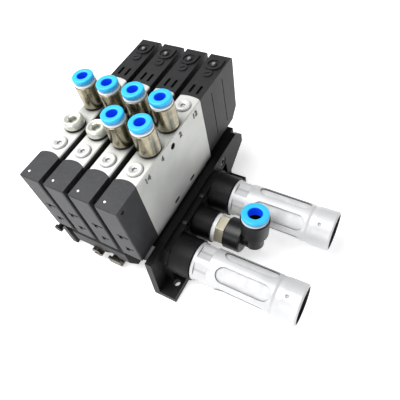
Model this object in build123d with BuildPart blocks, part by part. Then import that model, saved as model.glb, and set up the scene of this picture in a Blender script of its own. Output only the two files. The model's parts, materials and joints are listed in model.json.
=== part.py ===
"""Pneumatic valve island: four slim solenoid valves on a modular manifold base.

X runs along the stack towards the supply end, Y runs from the valves' front caps to their
pilot solenoids, Z is up.  The origin is on the base's underside, at the middle of the four
valves and on the centre line of the mounting rail.  All sizes are in millimetres.
"""
from build123d import *
from math import cos, pi, radians, sin
import os

os.makedirs("parts", exist_ok=True)

# ---- the stack ----
valve_count = 4
valve_pitch = 18.0
valve_width = 14.2
module_seal = 0.8
fit_gap = 0.05

# ---- the valve slice, along Y from the rail's centre line ----
cap_front_y = -46.0
cap_length = 18.6
cap_bulge = 2.0
cap_edge = 0.5
body_length = 68.9
body_bulge = 1.2
body_edge = 0.6
ear_front_y = -9.0
ear_rear_y = 30.0
ear_length = 8.0
ear_width = 1.0
ear_gap = 0.3
pilot_length = 42.5
pilot_cut_length = 8.3
pilot_cut_height = 7.0
pilot_rear_slant = 1.4
pilot_edge = 1.5
front_screw_y = -18.2
front_port_y = -2.9
rear_port_y = 16.8
rear_screw_y = 33.7

# ---- heights ----
base_height = 33.0
valve_seal = 1.5
body_height = 50.5
pilot_clear = 3.5

# ---- finger recesses, dimples and lamp of the front cap ----
upper_recess_height = 25.25
upper_recess_reach = 7.81
lower_recess_height = 11.11
lower_recess_reach = 5.68
recess_shift = 1.775
recess_bar = 1.4
recess_leg_drop = 1.6
recess_leg_width = 2.4
recess_leg_height = 3.4
recess_depth = 1.4
cap_dimple_in = 4.0
cap_dimple_below = 3.4
cap_dimple_r = 1.3
cap_dimple_depth = 0.6
lamp_x = 3.2
lamp_in = 4.5
lamp_r = 0.8
lamp_depth = 0.5

# ---- valve screws ----
screw_r = 1.5
screw_head_r = 4.7
screw_head_height = 1.6
screw_head_edge = 0.6
screw_head_dome = 0.64
screw_socket_af = 2.5
screw_socket_depth = 1.3
screw_bite = 4.0
seal_side_inset = 1.5

# ---- threaded valve ports ----
port_r = 4.85
port_depth = 8.0
port_way_r = 2.5

# ---- the spool and its bore ----
spool_bore_r = 4.0
spool_gap = 0.04
spool_height = 27.0
spool_front_y = -13.0
spool_rear_y = 28.6
spool_stroke = 2.0
spool_end_gap = 0.3
spool_waist_r = 2.4
spool_lands = 4
spool_land = 5.07

# ---- push-in fittings on the valves, for a 6 mm tube ----
tube_r = 3.0
tube_gap = 0.1
fitting_r = 6.8
fitting_height = 16.5
fitting_foot_edge = 0.8
fitting_top_edge = 0.4
socket_wall = 1.2
mouth_clear = 0.5
port_seal_height = 1.0
port_seal_r = 6.4
thread_length = 6.0
tube_depth = 12.0
cartridge_height = 0.8
cartridge_depth = 2.4
cartridge_inset = 0.1
running_gap = 0.08
ring_gap = 1.3
ring_height = 2.2
ring_r = 6.4
ring_round = 1.0
ring_bore_edge = 0.6
ring_stem_r = 4.3
ring_stem_length = 5.0
ring_stroke = 1.0
ring_bore_gap = 0.3

# ---- blanking plugs ----
plug_r = 6.3
plug_height = 5.2
plug_edge = 0.5
plug_bevel = 1.0
plug_socket_af = 5.0
plug_socket_depth = 4.0

# ---- blind holes in the side wall of a valve body ----
window_y = 8.0
window_below = 5.4
window_hole_r = 2.0
foot_slot_y = -2.0
foot_slot_spacing = 19.0
foot_slot_height = 5.6
foot_slot_length = 5.6
foot_slot_width = 2.5
wall_cut = 1.7

# ---- pilot solenoid top ----
pilot_slot_x = 2.6
pilot_slot_y = 49.2
pilot_slot_length = 7.5
pilot_slot_width = 1.8
pilot_slot_depth = 1.5
boss_y = 64.0
boss_r = 3.1
boss_height = 0.8
boss_slot_length = 3.4
boss_slot_width = 0.8
boss_slot_depth = 0.6
boss_slot_turn = 35.0
button_y = 72.7
button_r = 2.2
button_gap = 0.06
button_length = 10.0
button_dome = 0.5
button_stroke = 1.2
button_proud = 0.4
pad_r = 5.4
pad_height = 1.2
pad_ring_r = 3.9
pad_ring_depth = 0.7
coil_seam_front = 13.0
coil_seam_rear = 27.0
coil_seam_margin = 5.32
coil_seam_width = 0.7
coil_seam_depth = 0.5

# ---- manifold base ----
base_front_y = -34.0
base_rear_y = 54.0
shelf_rear_y = 72.0
shelf_thickness = 11.0
shelf_slant = 6.0
channel_height = 20.0
exhaust_y = 26.0
exhaust_r = 7.0
supply_r = 6.0
air_way_r = 1.75
air_way_y = 24.0
rail_half = 18.0
rail_depth = 8.5
tie_rod_r = 1.95
tie_rod_gap = 0.15
tie_rod_y = 11.1
tie_rod_below = 3.7
tie_rod_low_y = 45.0
tie_rod_low_below = 5.5
tie_head_r = 3.4
tie_head_height = 3.4
tie_head_sunk = 0.5
tie_nut_sunk = 0.6
tie_nut_gap = 0.1
tie_socket_r = 1.5
tie_socket_depth = 1.6
seal_inset = 0.5

# ---- end plates ----
web_thickness = 4.6
web_front_y = -47.0
web_rear_y = 74.0
web_corner = 8.0
ledge_rise = 2.0
gusset_drop = 2.0
gusset_height = 12.0
gap_front = 13.0
gap_rear = 5.5
gap_corner_below = 12.0
gap_top_below = 9.5
gap_foot_below = 21.0
pad_thickness = 4.0
pad_low = 4.0
pad_below = 0.5
pad_corner = 6.0
foot_front_y = -50.5
foot_out = 7.5
foot_depth = 17.0
foot_height = 5.0
foot_hole_r = 2.25
foot_hole_out = 3.15
foot_hole_y = 40.0
closed_front_y = -43.0
stud_below = 9.0
stud_r = 3.0
stud_neck_r = 1.8
stud_length = 4.0
socket_r = 13.2
socket_length = 14.0
mid_socket_r = 10.6
mid_socket_length = 13.3
silencer_thread_r = 6.6
thread_reach = 9.0
thread_relief = 1.0

# ---- silencers ----
silencer_length = 67.5
silencer_r = 12.2
silencer_waist_r = 11.8
silencer_end_r = 12.7
silencer_bore_r = 11.0
silencer_way_r = 4.0
silencer_end = 13.0
silencer_collar = 2.5
silencer_flats = 8.5
silencer_af = 22.6
silencer_foot = 12.0
silencer_edge = 0.6
silencer_end_edge = 0.8
silencer_end_taper = 0.3
waist_lead = 3.0
waist_half = 1.5
rear_turn = 10.0
window_count = 5
window_width = 9.9
window_start = 16.5
window_length = 34.0
window_turn = 51.0
insert_r = 10.9
insert_wall = 2.6
insert_short = 9.0
dimple_r = 0.9
dimple_shift = 2.0
dimple_depth = 0.8
cut_over = 1.0

# ---- elbow fitting, for an 8 mm tube; its outlet leans towards the pilots at rest ----
elbow_lean = 8.0
elbow_tube_r = 4.0
elbow_seal_width = 2.6
elbow_seal_r = 9.5
nut_af = 17.0
nut_width = 5.7
elbow_r = 10.2
elbow_arm = 11.4
elbow_link_r = 4.9
elbow_reach = 26.7
elbow_rise = 23.3
elbow_drop = 1.5
elbow_stub_r = 5.9
elbow_edge = 0.5
elbow_round = 0.8
collar_low = 9.5
collar_low_r = 8.4
collar_under = 1.0
collar_edge = 0.6
collar_round = 0.4
elbow_outlet_r = 9.0
elbow_ring_r = 8.3
elbow_stem_r = 5.8
spigot_r = 5.0
spigot_gap = 0.05
spigot_reach = 2.0
elbow_way_r = 2.6
turn_gap = 0.3

# ---- rail clamp under the front caps ----
clamp_x = -6.0
clamp_width = 44.0
clamp_depth = 10.0
clamp_wall = 2.0
clamp_low = 2.0
clamp_below = 4.0
clamp_corner = 3.0
clamp_shoulder_below = 9.0
clamp_nose_low = 13.0
clamp_toe = 5.0
clamp_gap = 0.2
clamp_screw_x = -12.0
clamp_screw_z = 9.0
clamp_screw_r = 4.2
clamp_screw_bite = 2.0
clamp_slot_over = 1.0
clamp_slot_width = 1.4
clamp_slot_depth = 1.6
clamp_slot_turn = 20.0
clamp_plate_x = 1.5
clamp_plate_width = 10.0
clamp_plate_height = 14.0
clamp_plate_thickness = 2.0
clamp_lip_reach = 9.5
clamp_lip_height = 6.0

# ---- worked-out places ----
stack_half = valve_count * valve_pitch / 2
valve_xs = [(i + 0.5) * valve_pitch - stack_half for i in range(valve_count)]
cap_joint_y = cap_front_y + cap_length
body_rear_y = cap_joint_y + body_length
pilot_rear_y = body_rear_y + pilot_length
body_low = base_height + valve_seal
body_top = body_low + body_height
spool_z = body_low + spool_height
plate_in = stack_half + module_seal / 2
web_out = plate_in + web_thickness
web_top = base_height + ledge_rise
shelf_under = base_height - shelf_thickness
web_low = shelf_under - gusset_drop
stud_height = base_height - stud_below
tie_rod_height = base_height - tie_rod_below
tie_rod_low_height = base_height - tie_rod_low_below
pad_out = web_out + pad_thickness
module_width = valve_pitch - module_seal
fitting_low = body_top + port_seal_height
fitting_top = fitting_low + fitting_height
port_places = [(x, rear_port_y) for x in valve_xs] + [(x, front_port_y) for x in valve_xs[2:]]
plug_places = [(x, front_port_y) for x in valve_xs[:2]]
foot_hole_x = pad_out + foot_hole_out
silencer_x = pad_out + socket_length
elbow_x = pad_out + mid_socket_length
nut_x = elbow_x + elbow_seal_width
body_x = nut_x + nut_width + turn_gap
socket_wall_r = ring_stem_r + socket_wall
elbow_mouth_r = elbow_stem_r + socket_wall
stem_clear = ring_stem_length - ring_gap + ring_stroke + mouth_clear
clamp_front_y = base_front_y - clamp_depth
clamp_seat_y = base_front_y - clamp_wall
outlet_x = elbow_x + elbow_reach
lean_sin = sin(radians(elbow_lean))
lean_cos = cos(radians(elbow_lean))


def save(piece, label):
    piece.label = label
    export_step(piece, f"parts/{label}.step")


def upright(x, y, z=0.0):
    """Plane whose local X is a radius and local Y is up, for turning about a vertical axis."""
    return Plane(origin=(x, y, z), x_dir=(1, 0, 0), z_dir=(0, -1, 0))


def lying(y, z):
    """Plane whose local X is along X and local Y is a radius, for turning about a level axis."""
    return Plane(origin=(0, y, z), x_dir=(1, 0, 0), z_dir=(0, -1, 0))


def turning_axis(plane):
    """Axis of a turned piece that is drawn on the given plane, radius along its local X."""
    return Axis(plane.origin, plane.y_dir)


# planes of the elbow's leaning outlet: square to it, and along it for turning
outlet_floor = Plane(origin=(outlet_x, 0, channel_height), x_dir=(1, 0, 0),
                     z_dir=(0, lean_sin, lean_cos))
outlet_side = Plane(origin=(outlet_x, 0, channel_height), x_dir=(1, 0, 0),
                    z_dir=(0, -lean_cos, lean_sin))


# ---- one piece per valve slice ----
def make_front_cap(x, label):
    """Moulded cap: rounded joint to the body, finger recesses and a snap notch in front."""
    half = valve_width / 2
    with BuildPart() as cap:
        with BuildSketch(Plane.XY.offset(body_low)):
            with BuildLine():
                Polyline((x + half, cap_joint_y), (x + half, cap_front_y), (x - half, cap_front_y),
                         (x - half, cap_joint_y))
                ThreePointArc((x - half, cap_joint_y), (x, cap_joint_y + cap_bulge),
                              (x + half, cap_joint_y))
            make_face()
        extrude(amount=body_height)
        front = cap.faces().sort_by(Axis.Y)[0]
        chamfer(front.edges(), length=cap_edge)
        # two dog-legged finger recesses low on the front
        for height, reach in ((upper_recess_height, upper_recess_reach),
                              (lower_recess_height, lower_recess_reach)):
            recess_z = body_low + height
            with BuildSketch(Plane.XZ.offset(-cap_front_y)):
                with Locations((x + recess_shift, recess_z)):
                    Rectangle(reach, recess_bar)
                with Locations((x, recess_z - recess_leg_drop)):
                    Rectangle(recess_leg_width, recess_leg_height)
            extrude(amount=-recess_depth, mode=Mode.SUBTRACT)
        # dimple on each side wall
        for side in (-1, 1):
            dimple_at = (x + side * half, cap_front_y + cap_dimple_in, body_top - cap_dimple_below)
            with BuildSketch(Plane(origin=dimple_at, x_dir=(0, 1, 0), z_dir=(side, 0, 0))):
                Circle(cap_dimple_r)
            extrude(amount=-cap_dimple_depth, mode=Mode.SUBTRACT)
        # window of the status lamp
        with BuildSketch(Plane.XY.offset(body_top)):
            with Locations((x - lamp_x, cap_front_y + lamp_in)):
                Circle(lamp_r)
        extrude(amount=-lamp_depth, mode=Mode.SUBTRACT)
    save(cap.part, label)


def make_valve_body(x, label):
    """Die-cast body: ports and screw holes from above, spool bore from the front."""
    half = valve_width / 2
    with BuildPart() as body:
        with BuildSketch(Plane.XY.offset(body_low)):
            with BuildLine():
                Line((x + half, body_rear_y), (x + half, cap_joint_y))
                ThreePointArc((x + half, cap_joint_y), (x, cap_joint_y + cap_bulge),
                              (x - half, cap_joint_y))
                Line((x - half, cap_joint_y), (x - half, body_rear_y))
                ThreePointArc((x - half, body_rear_y), (x, body_rear_y + body_bulge),
                              (x + half, body_rear_y))
            make_face()
        extrude(amount=body_height)
        long_edges = body.edges().filter_by(Axis.Y).group_by(Axis.Z)[-1]
        chamfer(long_edges, length=body_edge)
        # ears that straddle the seal at the foot of each side wall
        for side in (-1, 1):
            ear_x = x + side * (half - ear_width / 2)
            with BuildSketch(Plane.XY.offset(body_low)):
                with Locations((ear_x, ear_front_y), (ear_x, ear_rear_y)):
                    Rectangle(ear_width, ear_length)
            extrude(amount=-(valve_seal - ear_gap))
        # the two working ports, down to the spool bore
        with Locations((x, front_port_y, body_top), (x, rear_port_y, body_top)):
            Hole(port_r, depth=port_depth)
        with Locations((x, front_port_y, body_top), (x, rear_port_y, body_top)):
            Hole(port_way_r, depth=body_top - spool_z)
        # mounting screws
        with Locations((x, front_screw_y, body_top), (x, rear_screw_y, body_top)):
            Hole(screw_r + fit_gap, depth=body_height)
        # supply and exhaust ways up from the base
        with BuildSketch(Plane.XY.offset(body_low)):
            with Locations((x, 0), (x, air_way_y)):
                Circle(air_way_r)
        extrude(amount=spool_height, mode=Mode.SUBTRACT)
        # spool bore
        with BuildSketch(Plane.XZ.offset(-cap_joint_y)):
            with Locations((x, spool_z)):
                Circle(spool_bore_r)
        extrude(amount=-(spool_rear_y - cap_joint_y), mode=Mode.SUBTRACT)
        # in the wall towards the supply end: one round hole high up, two slots near the foot
        with BuildSketch(Plane.YZ.offset(x + half)):
            with Locations((window_y, body_top - window_below)):
                Circle(window_hole_r)
            with Locations((foot_slot_y, body_low + foot_slot_height),
                           (foot_slot_y + foot_slot_spacing, body_low + foot_slot_height)):
                SlotOverall(foot_slot_length, foot_slot_width)
        extrude(amount=-wall_cut, mode=Mode.SUBTRACT)
    save(body.part, label)


def make_pilot(x, label):
    """Moulded solenoid housing with slots, boss and the pad round the override button."""
    half = valve_width / 2
    low = body_low + pilot_clear
    with BuildPart() as pilot:
        with BuildSketch(Plane.YZ.offset(x - half)):
            Polygon((body_rear_y, low), (pilot_rear_y - pilot_cut_length, low),
                    (pilot_rear_y - pilot_rear_slant, low + pilot_cut_height),
                    (pilot_rear_y, body_top - pilot_edge), (pilot_rear_y - pilot_edge, body_top),
                    (body_rear_y, body_top), align=None)
        extrude(amount=valve_width)
        # room for the rounded rear of the valve body
        with BuildSketch(Plane.XY.offset(low)):
            with BuildLine():
                ThreePointArc((x - half, body_rear_y), (x, body_rear_y + body_bulge),
                              (x + half, body_rear_y))
                Line((x + half, body_rear_y), (x - half, body_rear_y))
            make_face()
        extrude(amount=body_height, mode=Mode.SUBTRACT)
        # pad: round towards the valve, square towards the rear
        with BuildSketch(Plane.XY.offset(body_top)):
            with Locations((x, button_y)):
                Circle(pad_r)
            with Locations((x, button_y + pad_r / 2)):
                Rectangle(2 * pad_r, pad_r)
            with Locations((x, boss_y)):
                Circle(boss_r)
        extrude(amount=boss_height)
        with BuildSketch(Plane.XY.offset(body_top)):
            with Locations((x, button_y)):
                Circle(pad_r)
            with Locations((x, button_y + pad_r / 2)):
                Rectangle(2 * pad_r, pad_r)
        extrude(amount=pad_height)
        with Locations((x, button_y, body_top + pad_height)):
            CounterBoreHole(button_r + button_gap, pad_ring_r, pad_ring_depth,
                            depth=button_length + button_stroke + pad_height)
        # two longitudinal slots behind the valve body
        with BuildSketch(Plane.XY.offset(body_top)):
            with Locations((x - pilot_slot_x, pilot_slot_y), (x + pilot_slot_x, pilot_slot_y)):
                SlotOverall(pilot_slot_length, pilot_slot_width, rotation=90)
        extrude(amount=-pilot_slot_depth, mode=Mode.SUBTRACT)
        # screwdriver slot in the boss
        with BuildSketch(Plane.XY.offset(body_top + boss_height)):
            with Locations((x, boss_y)):
                Rectangle(boss_slot_length, boss_slot_width, rotation=boss_slot_turn)
        extrude(amount=-boss_slot_depth, mode=Mode.SUBTRACT)
        # seams of the coil shell in the wall towards the supply end
        middle = (low + body_top) / 2
        with BuildSketch(Plane.YZ.offset(x + half)):
            with Locations((body_rear_y + coil_seam_front, middle),
                           (body_rear_y + coil_seam_rear, middle)):
                Rectangle(coil_seam_width, body_top - low - 2 * coil_seam_margin)
        extrude(amount=-coil_seam_depth, mode=Mode.SUBTRACT)
    save(pilot.part, label)


def make_spool(x, label):
    """Spool with four lands; it shifts towards the front cap when the pilot is switched."""
    land_r = spool_bore_r - spool_gap
    tail = spool_rear_y - spool_end_gap
    nose = spool_front_y + spool_stroke + spool_end_gap
    step = (tail - nose - spool_land) / (spool_lands - 1)
    outline = [(0.0, nose)]
    for i in range(spool_lands):
        start = nose + i * step
        outline.append((land_r, start))
        outline.append((land_r, start + spool_land))
        if i < spool_lands - 1:
            outline.append((spool_waist_r, start + spool_land))
            outline.append((spool_waist_r, start + step))
    outline.append((0.0, tail))
    with BuildPart() as spool:
        with BuildSketch(Plane(origin=(x, 0, spool_z), x_dir=(1, 0, 0), z_dir=(0, 0, 1))):
            Polygon(*outline, align=None)
        revolve(axis=Axis((x, 0, spool_z), (0, 1, 0)))
    save(spool.part, label)


def make_button(x, label):
    """Override button: a domed plunger held in the pad's bore."""
    top = body_top + pad_height + button_proud
    low = top - button_length
    edge = top - button_dome
    with BuildPart() as button:
        with BuildSketch(upright(x, button_y)):
            with BuildLine():
                Polyline((0, top), (0, low), (button_r, low), (button_r, edge))
                ThreePointArc((button_r, edge), (button_r * 0.75, top - button_dome * 0.3),
                              (button_r * 0.3, top))
                Line((button_r * 0.3, top), (0, top))
            make_face()
        revolve(axis=Axis((x, button_y, 0), (0, 0, 1)))
    save(button.part, label)


for i, x in enumerate(valve_xs, start=1):
    make_front_cap(x, f"front_cap_{i}")
    make_valve_body(x, f"valve_body_{i}")
    make_pilot(x, f"pilot_housing_{i}")
    make_spool(x, f"spool_{i}")
    make_button(x, f"override_button_{i}")

# ---- plugs that close the spool bores behind the front caps; the front screw passes through ----
with BuildPart() as bore_plugs:
    with BuildSketch(Plane.XZ.offset(-spool_front_y)):
        with Locations(*[(x, spool_z) for x in valve_xs]):
            Circle(spool_bore_r - fit_gap)
    extrude(amount=spool_front_y - cap_joint_y - cap_bulge)
    with Locations(*[(x, front_screw_y, spool_z + spool_bore_r) for x in valve_xs]):
        Hole(screw_r + fit_gap, depth=2 * spool_bore_r)
save(bore_plugs.part, "bore_plugs")

# ---- flat seals between valves and base ----
seal_front_y = cap_joint_y + cap_bulge
with BuildPart() as valve_seals:
    with BuildSketch(Plane.XY.offset(base_height)):
        for x in valve_xs:
            with Locations((x, (seal_front_y + body_rear_y) / 2)):
                Rectangle(valve_width - 2 * seal_side_inset, body_rear_y - seal_front_y)
        with Locations(*[(x, y) for x in valve_xs for y in (front_screw_y, rear_screw_y)]):
            Circle(screw_r + fit_gap, mode=Mode.SUBTRACT)
        with Locations(*[(x, y) for x in valve_xs for y in (0, air_way_y)]):
            Circle(air_way_r, mode=Mode.SUBTRACT)
    extrude(amount=valve_seal)
save(valve_seals.part, "valve_seals")

# ---- pan-head screws that hold the valves down ----
with BuildPart() as valve_screws:
    for x in valve_xs:
        for y in (front_screw_y, rear_screw_y):
            with BuildSketch(upright(x, y)):
                Polygon((0, base_height - screw_bite), (screw_r, base_height - screw_bite),
                        (screw_r, body_top), (screw_head_r, body_top),
                        (screw_head_r, body_top + screw_head_height - screw_head_dome),
                        (screw_head_r - screw_head_edge, body_top + screw_head_height),
                        (0, body_top + screw_head_height), align=None)
            revolve(axis=Axis((x, y, 0), (0, 0, 1)))
    with BuildSketch(Plane.XY.offset(body_top + screw_head_height)):
        with Locations(*[(x, y) for x in valve_xs for y in (front_screw_y, rear_screw_y)]):
            RegularPolygon(screw_socket_af / 2, 6, major_radius=False)
    extrude(amount=-screw_socket_depth, mode=Mode.SUBTRACT)
save(valve_screws.part, "valve_screws")


# ---- manifold base modules ----
def base_outline():
    """Side profile of base and rear shelf, open below for the mounting rail."""
    return [(base_front_y, 0), (-rail_half, 0), (-rail_half, rail_depth), (rail_half, rail_depth),
            (rail_half, 0), (base_rear_y, 0), (base_rear_y, shelf_under - shelf_slant),
            (base_rear_y + shelf_slant, shelf_under), (shelf_rear_y, shelf_under),
            (shelf_rear_y, base_height), (base_front_y, base_height)]


tie_places = [(-tie_rod_y, tie_rod_height), (tie_rod_y, tie_rod_height),
              (tie_rod_low_y, tie_rod_low_height)]


def make_base_module(x, label):
    with BuildPart() as module:
        with BuildSketch(Plane.YZ.offset(x - module_width / 2)):
            Polygon(*base_outline(), align=None)
            with Locations((-exhaust_y, channel_height), (exhaust_y, channel_height)):
                Circle(exhaust_r, mode=Mode.SUBTRACT)
            with Locations((0, channel_height)):
                Circle(supply_r, mode=Mode.SUBTRACT)
            with Locations(*tie_places):
                Circle(tie_rod_r + tie_rod_gap, mode=Mode.SUBTRACT)
        extrude(amount=module_width)
        with Locations((x, front_screw_y, base_height), (x, rear_screw_y, base_height)):
            Hole(screw_r + fit_gap, depth=screw_bite)
        with Locations((x, 0, base_height), (x, air_way_y, base_height)):
            Hole(air_way_r, depth=base_height - channel_height)
    save(module.part, label)


for i, x in enumerate(valve_xs, start=1):
    make_base_module(x, f"base_module_{i}")

# ---- sheet seals between the modules and at the end plates ----
seam_xs = [i * valve_pitch - stack_half for i in range(valve_count + 1)]
with BuildPart() as module_seals:
    for x in seam_xs:
        with BuildSketch(Plane.YZ.offset(x - module_seal / 2)):
            with Locations(((base_front_y + base_rear_y) / 2, (rail_depth + base_height) / 2)):
                Rectangle(base_rear_y - base_front_y - 2 * seal_inset,
                          base_height - rail_depth - 2 * seal_inset)
            with Locations((-exhaust_y, channel_height), (exhaust_y, channel_height)):
                Circle(exhaust_r, mode=Mode.SUBTRACT)
            with Locations((0, channel_height)):
                Circle(supply_r, mode=Mode.SUBTRACT)
            with Locations(*tie_places):
                Circle(tie_rod_r + tie_rod_gap, mode=Mode.SUBTRACT)
        extrude(amount=module_seal)
save(module_seals.part, "module_seals")


# ---- end plates ----
def make_end_plate(side, label):
    """End plate for the supply end (side 1, with sockets) or the closed end (side -1)."""
    inner = side * plate_in
    outer = side * web_out
    face = side * pad_out
    out = side * (web_thickness + pad_thickness)
    low_front_y = foot_front_y if side > 0 else closed_front_y
    top_front_y = web_front_y if side > 0 else closed_front_y
    with BuildPart() as plate:
        # web with the long ledge on top and the gusset under its rear end
        with BuildSketch(Plane.YZ.offset(inner)):
            Polygon((low_front_y, 0), (-rail_half, 0), (-rail_half, rail_depth),
                    (rail_half, rail_depth), (rail_half, 0), (base_rear_y, 0),
                    (base_rear_y, web_low - gusset_height), (web_rear_y, web_low),
                    (web_rear_y, web_top - web_corner), (web_rear_y - web_corner, web_top),
                    (top_front_y, web_top), align=None)
            # triangular window that lightens the rear of the web
            Polygon((base_rear_y - gap_front, base_height - gap_corner_below),
                    (base_rear_y - gap_rear, base_height - gap_top_below),
                    (base_rear_y - gap_rear, base_height - gap_foot_below),
                    align=None, mode=Mode.SUBTRACT)
        extrude(amount=side * web_thickness)
        # thicker pad that carries the sockets
        with BuildSketch(Plane.YZ.offset(outer)):
            pad_top = base_height - pad_below
            reach = exhaust_y + socket_r
            Polygon((-reach, pad_low), (-rail_half, 0), (-rail_half, rail_depth),
                    (rail_half, rail_depth), (rail_half, 0), (reach, pad_low),
                    (reach, pad_top - pad_corner), (reach - pad_corner, pad_top),
                    (pad_corner - reach, pad_top), (-reach, pad_top - pad_corner), align=None)
        extrude(amount=side * pad_thickness)
        if side > 0:
            # feet with fixing holes
            foot_y = foot_front_y + foot_depth / 2
            foot_x = web_out + (pad_thickness + foot_out) / 2
            rear_foot_y = base_rear_y - foot_depth / 2
            with BuildSketch(Plane.XY):
                with Locations((foot_x, foot_y), (foot_x, rear_foot_y)):
                    Rectangle(pad_thickness + foot_out, foot_depth)
            extrude(amount=foot_height)
            with Locations((foot_hole_x, -foot_hole_y, foot_height),
                           (foot_hole_x, foot_hole_y, foot_height)):
                Hole(foot_hole_r, depth=foot_height)
            # sockets for the silencers and the elbow
            with BuildSketch(Plane.YZ.offset(face)):
                with Locations((-exhaust_y, channel_height), (exhaust_y, channel_height)):
                    Circle(socket_r)
            extrude(amount=socket_length)
            with BuildSketch(Plane.YZ.offset(face)):
                with Locations((0, channel_height)):
                    Circle(mid_socket_r)
            extrude(amount=mid_socket_length)
            with BuildSketch(Plane.YZ.offset(inner)):
                with Locations((-exhaust_y, channel_height), (0, channel_height),
                               (exhaust_y, channel_height)):
                    Circle(supply_r)
            extrude(amount=web_thickness + pad_thickness + socket_length, mode=Mode.SUBTRACT)
            thread_hole = thread_reach + thread_relief
            with BuildSketch(Plane.YZ.offset(silencer_x - thread_hole)):
                with Locations((-exhaust_y, channel_height), (exhaust_y, channel_height)):
                    Circle(silencer_thread_r)
            extrude(amount=thread_hole, mode=Mode.SUBTRACT)
            with BuildSketch(Plane.YZ.offset(elbow_x - thread_hole)):
                with Locations((0, channel_height)):
                    Circle(silencer_thread_r)
            extrude(amount=thread_hole, mode=Mode.SUBTRACT)
        else:
            # headed stud on the front edge
            stud_x = -(plate_in + web_thickness / 2)
            with BuildSketch(Plane.XZ.offset(-closed_front_y)):
                with Locations((stud_x, stud_height)):
                    Circle(stud_neck_r)
            extrude(amount=stud_length)
            with BuildSketch(Plane.XZ.offset(-closed_front_y + stud_length / 2)):
                with Locations((stud_x, stud_height)):
                    Circle(stud_r)
            extrude(amount=stud_length / 2)
        # tie-rod holes with recesses for their heads and nuts
        with BuildSketch(Plane.YZ.offset(inner)):
            with Locations(*tie_places):
                Circle(tie_rod_r + tie_rod_gap)
        extrude(amount=out, mode=Mode.SUBTRACT)
        with BuildSketch(Plane.YZ.offset(face)):
            with Locations(*tie_places[:2]):
                Circle(tie_head_r + fit_gap)
        extrude(amount=-side * tie_head_height, mode=Mode.SUBTRACT)
        with BuildSketch(Plane.YZ.offset(outer)):
            with Locations(tie_places[2]):
                Circle(tie_head_r + fit_gap)
        extrude(amount=-side * tie_head_height, mode=Mode.SUBTRACT)
    save(plate.part, label)


make_end_plate(1, "supply_end_plate")
make_end_plate(-1, "closed_end_plate")

# ---- tie rods: socket heads at the supply end, hexagon nuts at the closed end ----
with BuildPart() as tie_rods:
    for (y, z), head_x in zip(tie_places, (pad_out, pad_out, web_out)):
        under_head = head_x - tie_head_height
        with BuildSketch(lying(y, z)):
            Polygon((-under_head, 0), (head_x - tie_head_sunk, 0),
                    (head_x - tie_head_sunk, tie_head_r), (under_head, tie_head_r),
                    (under_head, tie_rod_r), (-under_head, tie_rod_r), align=None)
        revolve(axis=Axis((0, y, z), (1, 0, 0)))
        with BuildSketch(Plane.YZ.offset(-under_head)):
            with Locations((y, z)):
                RegularPolygon(tie_head_r - tie_nut_gap, 6)
        extrude(amount=-(tie_head_height - tie_nut_sunk))
        with BuildSketch(Plane.YZ.offset(head_x - tie_head_sunk)):
            with Locations((y, z)):
                RegularPolygon(tie_socket_r, 6, major_radius=False)
        extrude(amount=-tie_socket_depth, mode=Mode.SUBTRACT)
save(tie_rods.part, "tie_rods")

# ---- flat rings under fittings and plugs ----
all_ports = port_places + plug_places
with BuildPart() as port_seals:
    with BuildSketch(Plane.XY.offset(body_top)):
        with Locations(*all_ports):
            Circle(port_seal_r)
        with Locations(*all_ports):
            Circle(port_r, mode=Mode.SUBTRACT)
    extrude(amount=port_seal_height)
save(port_seals.part, "port_seals")

# ---- blanking plugs ----
with BuildPart() as blanking_plugs:
    for x, y in plug_places:
        with BuildSketch(upright(x, y)):
            Polygon((0, body_top - thread_length), (port_r - fit_gap, body_top - thread_length),
                    (port_r - fit_gap, fitting_low), (plug_r - plug_edge, fitting_low),
                    (plug_r, fitting_low + plug_edge),
                    (plug_r, fitting_low + plug_height - plug_bevel),
                    (plug_r - plug_bevel, fitting_low + plug_height),
                    (0, fitting_low + plug_height), align=None)
        revolve(axis=Axis((x, y, 0), (0, 0, 1)))
    with BuildSketch(Plane.XY.offset(fitting_low + plug_height)):
        with Locations(*plug_places):
            RegularPolygon(plug_socket_af / 2, 6, major_radius=False)
    extrude(amount=-plug_socket_depth, mode=Mode.SUBTRACT)
save(blanking_plugs.part, "blanking_plugs")

# ---- push-in fittings on the valves ----
tube_stop = fitting_top - ring_stem_length - tube_depth


def make_fitting(x, y, label):
    """Nickel-plated body: threaded foot, tube bore, and a wide mouth for the cartridge."""
    mouth_low = fitting_top - stem_clear
    with BuildPart() as fitting:
        with BuildSketch(upright(x, y)):
            Polygon((port_way_r, body_top - thread_length),
                    (port_r - fit_gap, body_top - thread_length), (port_r - fit_gap, fitting_low),
                    (fitting_r - fitting_foot_edge, fitting_low),
                    (fitting_r, fitting_low + fitting_foot_edge),
                    (fitting_r, fitting_top - fitting_top_edge),
                    (fitting_r - fitting_top_edge, fitting_top),
                    (socket_wall_r, fitting_top), (socket_wall_r, mouth_low),
                    (tube_r + tube_gap, mouth_low), (tube_r + tube_gap, tube_stop),
                    (port_way_r, tube_stop), align=None)
        revolve(axis=Axis((x, y, 0), (0, 0, 1)))
    save(fitting.part, label)


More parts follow.
